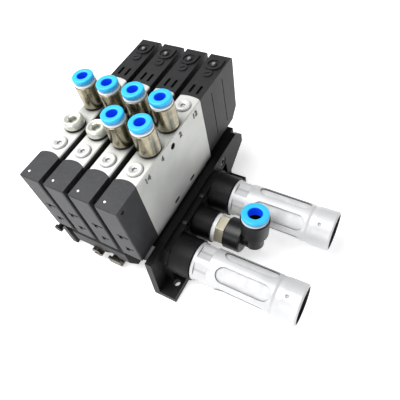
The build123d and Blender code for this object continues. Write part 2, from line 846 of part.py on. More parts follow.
def make_release_ring(plane, top, outer_r, stem_r, bore_r, label):
    """Release ring: a rounded flange to press and a stem that reaches the collet."""
    flange_low = top + cartridge_height + ring_gap
    flange_top = flange_low + ring_height
    stem_low = top - ring_stem_length + ring_gap + ring_stroke
    with BuildPart() as ring:
        with BuildSketch(plane):
            with BuildLine():
                Polyline((outer_r - ring_round, flange_top), (bore_r + ring_bore_edge, flange_top),
                         (bore_r, flange_top - ring_bore_edge), (bore_r, stem_low),
                         (stem_r, stem_low), (stem_r, flange_low), (outer_r, flange_low),
                         (outer_r, flange_top - ring_round))
                ThreePointArc((outer_r, flange_top - ring_round),
                              (outer_r - ring_round * 0.3, flange_top - ring_round * 0.3),
                              (outer_r - ring_round, flange_top))
            make_face()
        revolve(axis=turning_axis(plane))
    save(ring.part, label)


for i, (x, y) in enumerate(port_places, start=1):
    make_fitting(x, y, f"fitting_{i}")
    make_release_ring(upright(x, y), fitting_top, ring_r, ring_stem_r, tube_r + ring_bore_gap,
                      f"release_ring_{i}")

# ---- white cartridges that guide the release rings, pressed into the fitting mouths ----
with BuildPart() as fitting_cartridges:
    for x, y in port_places:
        with BuildSketch(upright(x, y)):
            Polygon((ring_stem_r + running_gap, fitting_top - cartridge_depth),
                    (socket_wall_r - fit_gap, fitting_top - cartridge_depth),
                    (socket_wall_r - fit_gap, fitting_top), (ring_r - cartridge_inset, fitting_top),
                    (ring_r - cartridge_inset, fitting_top + cartridge_height),
                    (ring_stem_r + running_gap, fitting_top + cartridge_height), align=None)
        revolve(axis=Axis((x, y, 0), (0, 0, 1)))
save(fitting_cartridges.part, "fitting_cartridges")


# ---- silencers ----
def make_silencer(y, turn, label):
    """Cast silencer: threaded foot, hexagon flats, long round-ended windows, plain end ring."""
    start = silencer_x
    end = silencer_x + silencer_length
    waist = end - silencer_end
    foot = start + silencer_foot
    with BuildPart() as silencer:
        with BuildSketch(lying(y, channel_height)):
            Polygon((start - thread_reach, silencer_way_r),
                    (start - thread_reach, silencer_thread_r - fit_gap),
                    (start, silencer_thread_r - fit_gap), (start, silencer_r - silencer_edge),
                    (start + silencer_edge, silencer_r), (waist - waist_lead, silencer_r),
                    (waist - waist_half, silencer_waist_r),
                    (waist + waist_half, silencer_end_r - silencer_end_taper),
                    (end - silencer_end_edge, silencer_end_r),
                    (end, silencer_end_r - silencer_end_edge), (end, silencer_bore_r),
                    (foot, silencer_bore_r), (foot, silencer_way_r), align=None)
        revolve(axis=Axis((0, y, channel_height), (1, 0, 0)))
        # hexagon flats behind the round collar
        with BuildSketch(Plane.YZ.offset(start + silencer_collar)):
            with Locations((y, channel_height)):
                Circle(silencer_r + cut_over)
                RegularPolygon(silencer_af / 2, 6, major_radius=False, rotation=turn,
                               mode=Mode.SUBTRACT)
        extrude(amount=silencer_flats, mode=Mode.SUBTRACT)
        # long windows round the barrel
        window_x = start + window_start + window_length / 2
        for k in range(window_count):
            angle = radians(turn) + 2 * pi * k / window_count
            out = (0, cos(angle), sin(angle))
            with BuildSketch(Plane(origin=(window_x, y, channel_height), x_dir=(1, 0, 0), z_dir=out)):
                SlotOverall(window_length, window_width)
            extrude(amount=silencer_r + cut_over, mode=Mode.SUBTRACT)
        # small dimple in the end ring
        dimple = radians(turn) + 1.5 * pi / window_count
        out = Vector(0, cos(dimple), sin(dimple))
        foot_point = Vector((waist + end) / 2 - dimple_shift, y, channel_height)
        with BuildSketch(Plane(origin=foot_point + out * (silencer_end_r + cut_over),
                               x_dir=(1, 0, 0), z_dir=out)):
            Circle(dimple_r)
        extrude(amount=-(dimple_depth + cut_over), mode=Mode.SUBTRACT)
    save(silencer.part, label)


def make_insert(y, label):
    """Porous sleeve inside the silencer, closed at its far end."""
    start = silencer_x + silencer_foot
    end = silencer_x + silencer_length - insert_short
    with BuildPart() as insert:
        with BuildSketch(lying(y, channel_height)):
            Polygon((start, insert_r - insert_wall), (start, insert_r), (end, insert_r), (end, 0),
                    (end - insert_wall, 0), (end - insert_wall, insert_r - insert_wall),
                    align=None)
        revolve(axis=Axis((0, y, channel_height), (1, 0, 0)))
    save(insert.part, label)


for y, turn, place in ((-exhaust_y, window_turn, "front"), (exhaust_y, window_turn + rear_turn, "rear")):
    make_silencer(y, turn, f"silencer_{place}")
    make_insert(y, f"silencer_insert_{place}")

# ---- elbow fitting in the supply socket ----
with BuildPart() as elbow_seal:
    with BuildSketch(Plane.YZ.offset(elbow_x)):
        with Locations((0, channel_height)):
            Circle(elbow_seal_r)
            Circle(silencer_thread_r, mode=Mode.SUBTRACT)
    extrude(amount=elbow_seal_width)
save(elbow_seal.part, "elbow_seal")

with BuildPart() as elbow_nut:
    with BuildSketch(Plane.YZ.offset(elbow_x - thread_reach)):
        with Locations((0, channel_height)):
            Circle(silencer_thread_r - fit_gap)
    extrude(amount=thread_reach + elbow_seal_width)
    with BuildSketch(Plane.YZ.offset(nut_x)):
        with Locations((0, channel_height)):
            RegularPolygon(nut_af / 2, 6, major_radius=False)
    extrude(amount=nut_width)
    with BuildSketch(Plane.YZ.offset(elbow_x - thread_reach)):
        with Locations((0, channel_height)):
            Circle(spigot_r + spigot_gap)
    extrude(amount=thread_reach + elbow_seal_width + nut_width, mode=Mode.SUBTRACT)
save(elbow_nut.part, "elbow_nut")

elbow_stop = elbow_rise - ring_stem_length - tube_depth
arm_end = body_x + elbow_arm
spigot_x = nut_x - spigot_reach
with BuildPart() as elbow_body:
    # level arm, and the spigot that turns in the nut
    with BuildSketch(lying(0, channel_height)):
        Polygon((spigot_x, 0), (spigot_x, spigot_r), (body_x, spigot_r),
                (body_x, elbow_r - elbow_edge), (body_x + elbow_edge, elbow_r),
                (arm_end - elbow_round, elbow_r), (arm_end, elbow_r - elbow_round),
                (arm_end, elbow_link_r), (outlet_x, elbow_link_r), (outlet_x, 0), align=None)
    revolve(axis=Axis((0, 0, channel_height), (1, 0, 0)))
    with Locations((outlet_x, 0, channel_height)):
        Sphere(elbow_link_r)
    # outlet: narrow below, a tapered collar round the tube above
    with BuildSketch(outlet_side):
        Polygon((0, -elbow_drop), (elbow_stub_r - elbow_round, -elbow_drop),
                (elbow_stub_r, elbow_round - elbow_drop), (elbow_stub_r, collar_low - collar_under),
                (collar_low_r - collar_edge, collar_low - collar_round),
                (collar_low_r, collar_low + collar_round),
                (elbow_outlet_r, elbow_rise - elbow_edge),
                (elbow_outlet_r - elbow_edge, elbow_rise), (0, elbow_rise), align=None)
    revolve(axis=turning_axis(outlet_side))
    # tube bore, mouth and the air ways
    with BuildSketch(outlet_floor.offset(elbow_stop)):
        Circle(elbow_tube_r + tube_gap)
    extrude(amount=elbow_rise - elbow_stop, mode=Mode.SUBTRACT)
    with BuildSketch(outlet_floor.offset(elbow_rise)):
        Circle(elbow_mouth_r)
    extrude(amount=-stem_clear, mode=Mode.SUBTRACT)
    with BuildSketch(outlet_floor.offset(-elbow_way_r)):
        Circle(elbow_way_r)
    extrude(amount=elbow_stop + elbow_way_r, mode=Mode.SUBTRACT)
    with BuildSketch(Plane.YZ.offset(spigot_x)):
        with Locations((0, channel_height)):
            Circle(elbow_way_r)
    extrude(amount=outlet_x - spigot_x, mode=Mode.SUBTRACT)
save(elbow_body.part, "elbow_body")

with BuildPart() as elbow_cartridge:
    with BuildSketch(outlet_side):
        Polygon((elbow_stem_r + running_gap, elbow_rise - cartridge_depth),
                (elbow_mouth_r - fit_gap, elbow_rise - cartridge_depth),
                (elbow_mouth_r - fit_gap, elbow_rise), (elbow_ring_r - cartridge_inset, elbow_rise),
                (elbow_ring_r - cartridge_inset, elbow_rise + cartridge_height),
                (elbow_stem_r + running_gap, elbow_rise + cartridge_height), align=None)
    revolve(axis=turning_axis(outlet_side))
save(elbow_cartridge.part, "elbow_cartridge")
make_release_ring(outlet_side, elbow_rise, elbow_ring_r, elbow_stem_r,
                  elbow_tube_r + ring_bore_gap, "elbow_release_ring")

# ---- block of the rail clamp, with its screw and the lipped plate that grips the rail ----
clamp_top = base_height - clamp_below
with BuildPart() as clamp_block:
    with BuildSketch(Plane.YZ.offset(clamp_x - clamp_width / 2)):
        Polygon((base_front_y, clamp_low), (base_front_y, clamp_top),
                (clamp_front_y + clamp_corner, clamp_top),
                (clamp_front_y, base_height - clamp_shoulder_below),
                (clamp_front_y, clamp_nose_low), (base_front_y - clamp_toe, clamp_low), align=None)
    extrude(amount=clamp_width)
    with BuildSketch(Plane.XZ.offset(-clamp_front_y)):
        with Locations((clamp_screw_x, clamp_screw_z)):
            Circle(clamp_screw_r + clamp_gap)
        with Locations((clamp_plate_x, clamp_screw_z)):
            Rectangle(clamp_plate_width + 2 * clamp_gap, clamp_plate_height + 2 * clamp_gap)
    extrude(amount=-(clamp_depth - clamp_wall), mode=Mode.SUBTRACT)
    with BuildSketch(Plane.XZ.offset(-clamp_front_y)):
        with Locations((clamp_screw_x, clamp_screw_z)):
            Circle(screw_r + fit_gap)
    extrude(amount=-clamp_depth, mode=Mode.SUBTRACT)
save(clamp_block.part, "clamp_block")

with BuildPart() as clamp_screw:
    with BuildSketch(Plane.XZ.offset(-clamp_seat_y)):
        with Locations((clamp_screw_x, clamp_screw_z)):
            Circle(clamp_screw_r)
    extrude(amount=clamp_depth)
    with BuildSketch(Plane.XZ.offset(-clamp_seat_y)):
        with Locations((clamp_screw_x, clamp_screw_z)):
            Circle(screw_r)
    extrude(amount=-clamp_screw_bite)
    with BuildSketch(Plane.XZ.offset(-clamp_seat_y + clamp_depth)):
        with Locations((clamp_screw_x, clamp_screw_z)):
            Rectangle(2 * clamp_screw_r + clamp_slot_over, clamp_slot_width,
                      rotation=clamp_slot_turn)
    extrude(amount=-clamp_slot_depth, mode=Mode.SUBTRACT)
save(clamp_screw.part, "clamp_screw")

with BuildPart() as clamp_plate:
    low = clamp_screw_z - clamp_plate_height / 2
    top = clamp_screw_z + clamp_plate_height / 2
    lip_y = clamp_seat_y - clamp_lip_reach
    with BuildSketch(Plane.YZ.offset(clamp_plate_x - clamp_plate_width / 2)):
        Polygon((clamp_seat_y, top), (clamp_seat_y, low), (lip_y, low),
                (lip_y, low + clamp_lip_height), (lip_y + clamp_plate_thickness, low + clamp_lip_height),
                (lip_y + clamp_plate_thickness, low + clamp_plate_thickness),
                (clamp_seat_y - clamp_plate_thickness, low + clamp_plate_thickness),
                (clamp_seat_y - clamp_plate_thickness, top), align=None)
    extrude(amount=clamp_plate_width)
save(clamp_plate.part, "clamp_plate")
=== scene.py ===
# %% [markdown]
# # Dressing a pneumatic valve island
# The real object is a stack of four slim solenoid valves on a black manifold base. Its build is
# already settled in the construction model, which is loaded here as a fixed frame. This lesson
# adds what the eye meets first: finishes, soft edges, turned metal and pressed plastic.

import json
import math

import bmesh
import bpy
import numpy as np
from mathutils import Matrix, Vector


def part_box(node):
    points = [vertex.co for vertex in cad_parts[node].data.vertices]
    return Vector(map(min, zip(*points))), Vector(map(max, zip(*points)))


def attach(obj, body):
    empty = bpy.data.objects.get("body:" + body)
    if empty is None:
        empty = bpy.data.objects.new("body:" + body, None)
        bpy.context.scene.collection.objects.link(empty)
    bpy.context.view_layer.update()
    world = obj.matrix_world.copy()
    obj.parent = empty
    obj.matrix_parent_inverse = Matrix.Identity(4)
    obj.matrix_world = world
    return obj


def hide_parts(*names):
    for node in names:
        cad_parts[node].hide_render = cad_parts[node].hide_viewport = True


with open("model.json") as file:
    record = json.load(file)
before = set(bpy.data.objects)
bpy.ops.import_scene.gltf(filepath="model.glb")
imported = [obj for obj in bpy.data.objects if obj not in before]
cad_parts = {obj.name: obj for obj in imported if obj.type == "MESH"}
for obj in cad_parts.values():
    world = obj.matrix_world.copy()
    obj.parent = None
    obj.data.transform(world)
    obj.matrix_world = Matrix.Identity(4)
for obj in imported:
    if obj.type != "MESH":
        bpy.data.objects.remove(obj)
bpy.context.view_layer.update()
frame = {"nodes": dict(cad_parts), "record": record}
record = frame["record"]
nodes = frame["nodes"]
MM = 0.001

# %% [markdown]
# ## Colours and one small node helper
# Paint charts and product sheets give colours as hex values in sRGB, while shaders count in
# linear light, so one function turns one into the other. A second helper adds a shader node,
# sets its options and wires or fills its inputs in one call. Every finish below is built from
# these two.


# %% Colour and node helpers
def linear(hex_text):
    """sRGB hex to linear RGBA: c/12.92 below 0.04045, else ((c + 0.055)/1.055) to the power 2.4."""
    out = []
    for i in (0, 2, 4):
        c = int(hex_text[i:i + 2], 16) / 255
        out.append(c / 12.92 if c <= 0.04045 else ((c + 0.055) / 1.055) ** 2.4)
    return (*out, 1.0)


def add(tree, kind, inputs=None, **options):
    """Adds one node; an input given as a socket is wired, any other value is set."""
    node = tree.nodes.new(kind)
    for name, value in options.items():
        setattr(node, name, value)
    for name, value in (inputs or {}).items():
        if isinstance(value, bpy.types.NodeSocket):
            tree.links.new(value, node.inputs[name])
        else:
            node.inputs[name].default_value = value
    return node


def new_material(name, **shader_values):
    """An empty material with its main shader filled in; returns material, tree and shader."""
    material = bpy.data.materials.new(name)
    material.use_nodes = True
    tree = material.node_tree
    shader = tree.nodes["Principled BSDF"]
    for key, value in shader_values.items():
        shader.inputs[key.replace("_", " ")].default_value = value
    return material, tree, shader


def mottle(tree, size_mm, detail=2.0, stretch=(1, 1, 1)):
    """Noise on the piece's own coordinates; size_mm is the size of one blotch."""
    place = add(tree, "ShaderNodeTexCoord")
    scaled = add(tree, "ShaderNodeMapping", {"Vector": place.outputs["Object"], "Scale": stretch})
    return add(tree, "ShaderNodeTexNoise", {"Vector": scaled.outputs["Vector"],
                                            "Scale": 1 / (size_mm * MM), "Detail": detail})


def soft_edges(tree, shader, height, radius_mm, depth_mm, strength=1.0):
    """Bump on top of rounded-looking edges: small radii that moulds and castings always have."""
    edge = add(tree, "ShaderNodeBevel", {"Radius": radius_mm * MM}, samples=4)
    bump = add(tree, "ShaderNodeBump", {"Height": height, "Normal": edge.outputs["Normal"],
                                        "Distance": depth_mm * MM, "Strength": strength})
    tree.links.new(bump.outputs["Normal"], shader.inputs["Normal"])


def tint(tree, shader, factor, dark_hex, light_hex, low=0.3, high=0.7):
    """Colour that drifts between two shades as the factor goes from low to high."""
    ramp = add(tree, "ShaderNodeValToRGB", {"Fac": factor})
    ramp.color_ramp.elements[0].position = low
    ramp.color_ramp.elements[1].position = high
    ramp.color_ramp.elements[0].color = linear(dark_hex)
    ramp.color_ramp.elements[1].color = linear(light_hex)
    tree.links.new(ramp.outputs["Color"], shader.inputs["Base Color"])
    return ramp.outputs["Color"]


def paint_crevice_shade(tree, shader, reach_mm, crevice_shade_hex):
    """Painted shade: where walls are close, colour sinks to a dark shade colour."""
    colour = shader.inputs["Base Color"].links[0].from_socket
    open_sky = add(tree, "ShaderNodeAmbientOcclusion", {"Distance": reach_mm * MM}, samples=8)
    share = add(tree, "ShaderNodeMapRange", {"Value": open_sky.outputs["AO"], "From Min": 0.35,
                                             "From Max": 0.8})
    mixed = add(tree, "ShaderNodeMixRGB", {"Fac": share.outputs["Result"],
                                           "Color1": linear(crevice_shade_hex), "Color2": colour})
    tree.links.new(mixed.outputs["Color"], shader.inputs["Base Color"])


def vary_roughness(tree, shader, factor, low, high):
    """Roughness that follows the same blotches, so gloss breaks up as it does on handled parts."""
    spread = add(tree, "ShaderNodeMapRange", {"Value": factor, "To Min": low, "To Max": high})
    tree.links.new(spread.outputs["Result"], shader.inputs["Roughness"])


finishes = {}
print("mid grey 808080 in linear light:", round(linear("808080")[0], 3))

# %% [markdown]
# ## Moulded plastics
# Base, caps and pilot housings are glass-filled polyamide from steel moulds. The mould's spark
# eroded skin leaves a fine grain, which spreads the highlight; edges keep a small radius that
# catches light. Handling leaves a thin grey film of dust and scuffs. It could be a texture, but
# three layers of noise do the same: a large one for the cloudy shade, a smaller one for dust and
# scuffs, and the finest for the grain. The real grain is about 0.1 mm, drawn here at 0.6 mm so
# that it shows.


# %% Polyamide finishes
def moulded_polyamide(name, dark, light, rough_low, rough_high, dust="6E6F70", dust_share=0.04,
                      gloss=0.5, shade_mm=0.0):
    """Grained moulding between two shades, under a scuffed film of dust; shade_mm paints shade into
    slots.
    """
    cloud_mm, grain_mm, scuff_mm = 14.0, 0.6, 2.5
    edge_mm, grain_deep_mm = 0.35, 0.06
    material, tree, shader = new_material(name, IOR=1.53, Specular_IOR_Level=gloss)
    cloud = mottle(tree, cloud_mm, 3.0)
    grain = mottle(tree, grain_mm, 2.0)
    scuff = mottle(tree, scuff_mm, 6.0, (1.0, 1.0, 0.35))
    shade = tint(tree, shader, cloud.outputs["Fac"], dark, light)
    film = add(tree, "ShaderNodeMapRange", {"Value": scuff.outputs["Fac"], "From Min": 0.52,
                                            "From Max": 0.8, "To Max": dust_share})
    dusty = add(tree, "ShaderNodeMixRGB", {"Fac": film.outputs["Result"],
                                           "Color1": shade, "Color2": linear(dust)})
    tree.links.new(dusty.outputs["Color"], shader.inputs["Base Color"])
    # painted shade: slots and recesses go black where walls are close
    if shade_mm:
        paint_crevice_shade(tree, shader, shade_mm, "040404")
    vary_roughness(tree, shader, cloud.outputs["Fac"], rough_low, rough_high)
    soft_edges(tree, shader, grain.outputs["Fac"], edge_mm, grain_deep_mm, 0.5)
    return material


# near black, with little gloss, so that the base recedes
finishes["base_moulding"] = moulded_polyamide("glass_filled_polyamide_black", "030304", "0A0B0C",
                                              0.42, 0.55, gloss=0.22)
# charcoal caps: the lighter of the two mouldings, with painted shade that blackens slots and recesses
finishes["cap_moulding"] = moulded_polyamide("polyamide_dark_grey", "232427", "2F3033", 0.5, 0.62,
                                             "8A8C86", 0.06, 0.45, 2.2)
# solenoid housings: blacker than the caps, with the same painted shade in their slots
pilot_black = moulded_polyamide("polyamide_pilot_black", "0F1011", "191A1C", 0.45, 0.58, "6E706C", 0.05,
                                0.4, 2.2)
# smoother plastic, with a longer highlight on the round arm
finishes["elbow_plastic"] = moulded_polyamide("polybutylene_black", "060708", "0F1013", 0.3, 0.42,
                                              gloss=0.35)
print("moulded plastics:", len(finishes))

# %% [markdown]
# ## Metals
# Valve bodies are die castings, blasted with glass beads to a satin grey. Silencers are brighter
# castings with a smooth skin. Fittings are brass plated with nickel, turned and polished, so
# they show faint rings from the tool and warm mirror streaks. Blasted grain and tool rings are
# about 0.1 mm on the real pieces and are drawn at 0.5 to 1.2 mm so that they show. A metal keeps
# the default index of refraction; its colour is its reflection.


# %% Metal finishes
def blasted_casting(name, dark, light, metallic, rough, grain_mm=0.8, depth_mm=0.05, radius_mm=0.4,
                    crevice_shade_mm=0.0, crevice_shade="1A1A1A"):
    """Satin casting: cloudy shade, fine blasted grain, rounded edges, painted shade where walls are
    close.
    """
    cloud_mm = 20.0
    material, tree, shader = new_material(name, Metallic=metallic)
    cloud = mottle(tree, cloud_mm, 3.0)
    grain = mottle(tree, grain_mm, 3.0)
    tint(tree, shader, cloud.outputs["Fac"], dark, light)
    # painted shade in gaps and recesses, when a reach is given
    if crevice_shade_mm:
        paint_crevice_shade(tree, shader, crevice_shade_mm, crevice_shade)
    vary_roughness(tree, shader, cloud.outputs["Fac"], rough - 0.05, rough + 0.07)
    soft_edges(tree, shader, grain.outputs["Fac"], radius_mm, depth_mm, 0.45)
    return material


def paint_bore_shade(material, barrel_box, bore_r, bore_shade_hex, fade_mm=0.2):
    """Painted shade on the inner wall of the two barrels, which lie along X and mirror each other in Y:
    dark where the distance from the barrel's axis is less than bore_r, gone fade_mm further out."""
    tree = material.node_tree
    shader = tree.nodes["Principled BSDF"]
    colour = shader.inputs["Base Color"].links[0].from_socket
    middle = [(low + high) / 2 for low, high in zip(*barrel_box)]
    place = add(tree, "ShaderNodeTexCoord")
    mirrored = add(tree, "ShaderNodeVectorMath", {0: place.outputs["Object"]}, operation="ABSOLUTE")
    from_axis = add(tree, "ShaderNodeVectorMath", {0: mirrored.outputs["Vector"],
                                                   1: (0, middle[1], middle[2])},
                    operation="SUBTRACT")
    across = add(tree, "ShaderNodeVectorMath", {0: from_axis.outputs["Vector"], 1: (0, 1, 1)},
                 operation="MULTIPLY")
    radius = add(tree, "ShaderNodeVectorMath", {0: across.outputs["Vector"]}, operation="LENGTH")
    inside = add(tree, "ShaderNodeMapRange", {"Value": radius.outputs["Value"],
                                              "From Min": bore_r * MM,
                                              "From Max": (bore_r + fade_mm) * MM,
                                              "To Min": 1.0, "To Max": 0.0})
    bore_shaded = add(tree, "ShaderNodeMixRGB", {"Fac": inside.outputs["Result"], "Color1": colour,
                                           "Color2": linear(bore_shade_hex)})
    tree.links.new(bore_shaded.outputs["Color"], shader.inputs["Base Color"])


def turned_metal(name, dark, light, rough, ring_mm=0.5, depth_mm=0.01):
    """Plated turning: rings across the upright axis, as the tool's feed leaves them."""
    blotch_mm, cloud_mm = 6.0, 5.0
    material, tree, shader = new_material(name, Metallic=1.0)
    rings = mottle(tree, blotch_mm, 3.0, (0.3, 0.3, blotch_mm / ring_mm))
    cloud = mottle(tree, cloud_mm, 2.0)
    tint(tree, shader, cloud.outputs["Fac"], dark, light)
    vary_roughness(tree, shader, rings.outputs["Fac"], rough - 0.05, rough + 0.07)
    bump = add(tree, "ShaderNodeBump", {"Height": rings.outputs["Fac"], "Distance": depth_mm * MM,
                                        "Strength": 0.5})
    tree.links.new(bump.outputs["Normal"], shader.inputs["Normal"])
    return material


# valve bodies: pale satin grey, with painted shade that sinks them to black where they stand close
# together
finishes["body_casting"] = blasted_casting("bead_blasted_aluminium", "C9CBC6", "DBDCD9", 0.3, 0.48,
                                           1.1, 0.09, crevice_shade_mm=9.0)
# silencers: smoother and brighter, window edges drawn by a trace of painted shade, and painted shade
# black in the mouth
finishes["silencer_casting"] = blasted_casting("bright_die_casting", "C3C4C6", "D5D6D7", 0.2, 0.42,
                                               1.2, 0.07, 0.5, crevice_shade_mm=3.0, crevice_shade="5C5E60")
# painted shade: the silencers' bore goes dark inside this radius
silencer_bore_r = 11.15
paint_bore_shade(finishes["silencer_casting"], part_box("silencer_rear"), silencer_bore_r, "1E1F20")
# spools and the plugs behind them: smooth bright metal inside the bodies
finishes["spool_aluminium"] = blasted_casting("anodised_aluminium", "B4B6BA", "C2C4C8", 0.9, 0.3)
# fittings: warm nickel that mirrors the bodies below in long streaks
finishes["nickel_brass"] = turned_metal("nickel_plated_brass", "8F8874", "ADA692", 0.24)
# clamp: nickel darkened as painted shade, for the caps' shadow that half covers it
finishes["clamp_steel"] = turned_metal("nickel_plated_steel_painted_shade", "45423B", "6E695E", 0.34)
# valve screws: bright zinc with a grey ring of painted shade round the socket
finishes["screw_steel"] = blasted_casting("zinc_plated_steel", "CFD0CE", "DDDDDB", 0.3, 0.4,
                                          crevice_shade_mm=2.0, crevice_shade="6E6E6C")
# blanking plugs: satin nickel, lighter than the fittings, with painted shade dark in the socket
plug_nickel = blasted_casting("satin_nickel", "D2D5C9", "E2E4DA", 0.5, 0.32, 0.8, 0.02, crevice_shade_mm=3.0,
                              crevice_shade="4E504A")
# numerals: darker than their wall as painted shade, so that they can be read, with more painted shade
# where walls are close
numeral_casting = blasted_casting("cast_numerals_painted_shade", "74766F", "8C8E87", 0.3, 0.5, crevice_shade_mm=1.5)
# the elbow's nut: warm nickel with soft highlights on its flats
nut_nickel = blasted_casting("nickel_plated_nut", "C0B99F", "D9D3BD", 0.75, 0.28, 0.8, 0.02)
# tie rods: oil-black heads that catch one highlight in their recesses
finishes["rod_black"] = blasted_casting("black_oxide_steel", "3C3D40", "5A5B5E", 0.8, 0.3)
print("metals:", len(finishes))

# %% [markdown]
# ## Acetal, rubber and sinter
# Release rings are sky blue acetal, slightly translucent, so light that enters the bore comes
# back a deeper blue; the bore also glows a little, painted light that stands in for that. A paint
# mask on the mesh says where the bore is: the ring's own profile gives it, so the colour follows
# the surface. The override buttons are moulded in two colours, and the same mask parts them.
# Seals are matt nitrile rubber. The silencers' sleeve is sintered polyethylene: beads of about
# 0.2 mm fused into a porous wall. The beads are drawn at 0.9 mm and the fine grain of acetal and
# rubber at 0.7 mm, so that they show.


# %% Soft and glossy plastics
def plain_plastic(name, dark, light, rough, grain_mm, depth_mm, ior=1.48, radius_mm=0.25):
    """Even plastic or rubber: two close shades, a grain of its own size and rounded edges."""
    cloud_mm = 6.0
    material, tree, shader = new_material(name, IOR=ior)
    cloud = mottle(tree, cloud_mm, 2.0)
    grain = mottle(tree, grain_mm, 3.0)
    tint(tree, shader, cloud.outputs["Fac"], dark, light)
    vary_roughness(tree, shader, cloud.outputs["Fac"], rough - 0.04, rough + 0.04)
    soft_edges(tree, shader, grain.outputs["Fac"], radius_mm, depth_mm, 0.5)
    return material


def two_tone_acetal(name, outside, inside, rough, painted_glow_strength=0.45):
    """Acetal whose colour follows the mesh's own "bore" mask, from 0 outside to 1 inside; the inside
    also glows a little, painted light in place of light that passes the wall."""
    cloud_mm = 4.0
    material, tree, shader = new_material(name, IOR=1.48, Roughness=rough,
                                          Emission_Strength=painted_glow_strength)
    mask = add(tree, "ShaderNodeAttribute", attribute_name="bore")
    cloud = mottle(tree, cloud_mm, 2.0)
    spread = add(tree, "ShaderNodeMapRange", {"Value": cloud.outputs["Fac"], "To Min": 0.93,
                                              "To Max": 1.05})
    deep = add(tree, "ShaderNodeMixRGB", {"Fac": mask.outputs["Fac"], "Color1": linear(outside),
                                          "Color2": linear(inside)})
    shade = add(tree, "ShaderNodeVectorMath", {0: deep.outputs["Color"]}, operation="SCALE")
    tree.links.new(spread.outputs["Result"], shade.inputs["Scale"])
    tree.links.new(shade.outputs["Vector"], shader.inputs["Base Color"])
    painted_glow = add(tree, "ShaderNodeMixRGB", {"Fac": mask.outputs["Fac"], "Color1": linear("000000"),
                                          "Color2": linear(inside)})
    tree.links.new(painted_glow.outputs["Color"], shader.inputs["Emission Color"])
    return material


# release rings: clear sky blue on top, royal blue down the bore with a painted glow there
finishes["release_blue"] = two_tone_acetal("acetal_sky_blue", "2EBBF4", "0A40D6", 0.36)
# override buttons: a dark collar round a grey core, with no glow
finishes["button_plastic"] = two_tone_acetal("acetal_button_grey", "17181A", "7C8186", 0.42, 0.0)
# guides, seals and sleeves: a clean white, a dull black and a chalky white
finishes["cartridge_white"] = plain_plastic("acetal_white", "E6E7E8", "F2F2F2", 0.35, 0.7, 0.02)
finishes["seal_rubber"] = plain_plastic("nitrile_rubber_black", "0B0B0C", "121213", 0.7, 0.7, 0.05,
                                        1.52)
finishes["silencer_sinter"] = plain_plastic("sintered_polyethylene", "C9CACB", "DADBDB", 0.8, 0.9, 0.2,
                                            1.5)

# %% [markdown]
# ## A finish for every construction node
# The record gives each node a material slot, and most nodes take that slot's finish. The elbow's
# nut and the pilot housings differ from the rest of their slot, so they take their own.

# %% Finishes on the nodes
valve_count = sum(node.startswith("valve_body_") for node in nodes)
valves = range(1, valve_count + 1)
slot_of = {part["node"]: part["material_slot"] for part in record["subparts"]}
own_finish = {"elbow_nut": nut_nickel, **{f"pilot_housing_{i}": pilot_black for i in valves}}
for node, piece in nodes.items():
    piece.data.materials.clear()
    piece.data.materials.append(own_finish.get(node, finishes[slot_of[node]]))
print("finishes:", len(finishes), "on", len(slot_of), "nodes")

# %% [markdown]
# ## Turned pieces: a profile carried round an axis
# Push-in fittings, their white guides and blue release rings are all turned or moulded round
# shapes. They could be cylinders with bevels, but a profile swept round an axis gives the real
# section, with the small radii that make highlights. The profile is a closed loop of radius and
# height; each corner is replaced by a short curve, and the whole loop is carried round.

# %% Turning helper
turn_steps = 96
corner_steps = np.linspace(0.0, 1.0, 5)[:, None]
# a solid piece's loop keeps this far from the axis, in millimetres, so the skin stays closed
# round a hole too fine to see
axis_r = 0.02


def rounded(profile, radius):
    """Closed loop with soft corners: each corner P becomes the curve
    (1-s)^2 A + 2 s (1-s) P + s^2 C, where A and C lie on its two edges, radius away at most."""
    corner = np.asarray(profile, float)
    to_last = np.roll(corner, 1, axis=0) - corner
    to_next = np.roll(corner, -1, axis=0) - corner
    last_length = np.linalg.norm(to_last, axis=1, keepdims=True)
    next_length = np.linalg.norm(to_next, axis=1, keepdims=True)
    start = corner + to_last / last_length * np.minimum(radius, 0.45 * last_length)
    end = corner + to_next / next_length * np.minimum(radius, 0.45 * next_length)
    s = corner_steps
    curve = ((1 - s) ** 2 * start[:, None] + 2 * s * (1 - s) * corner[:, None] + s ** 2 * end[:, None])
    return curve.reshape(-1, 2)


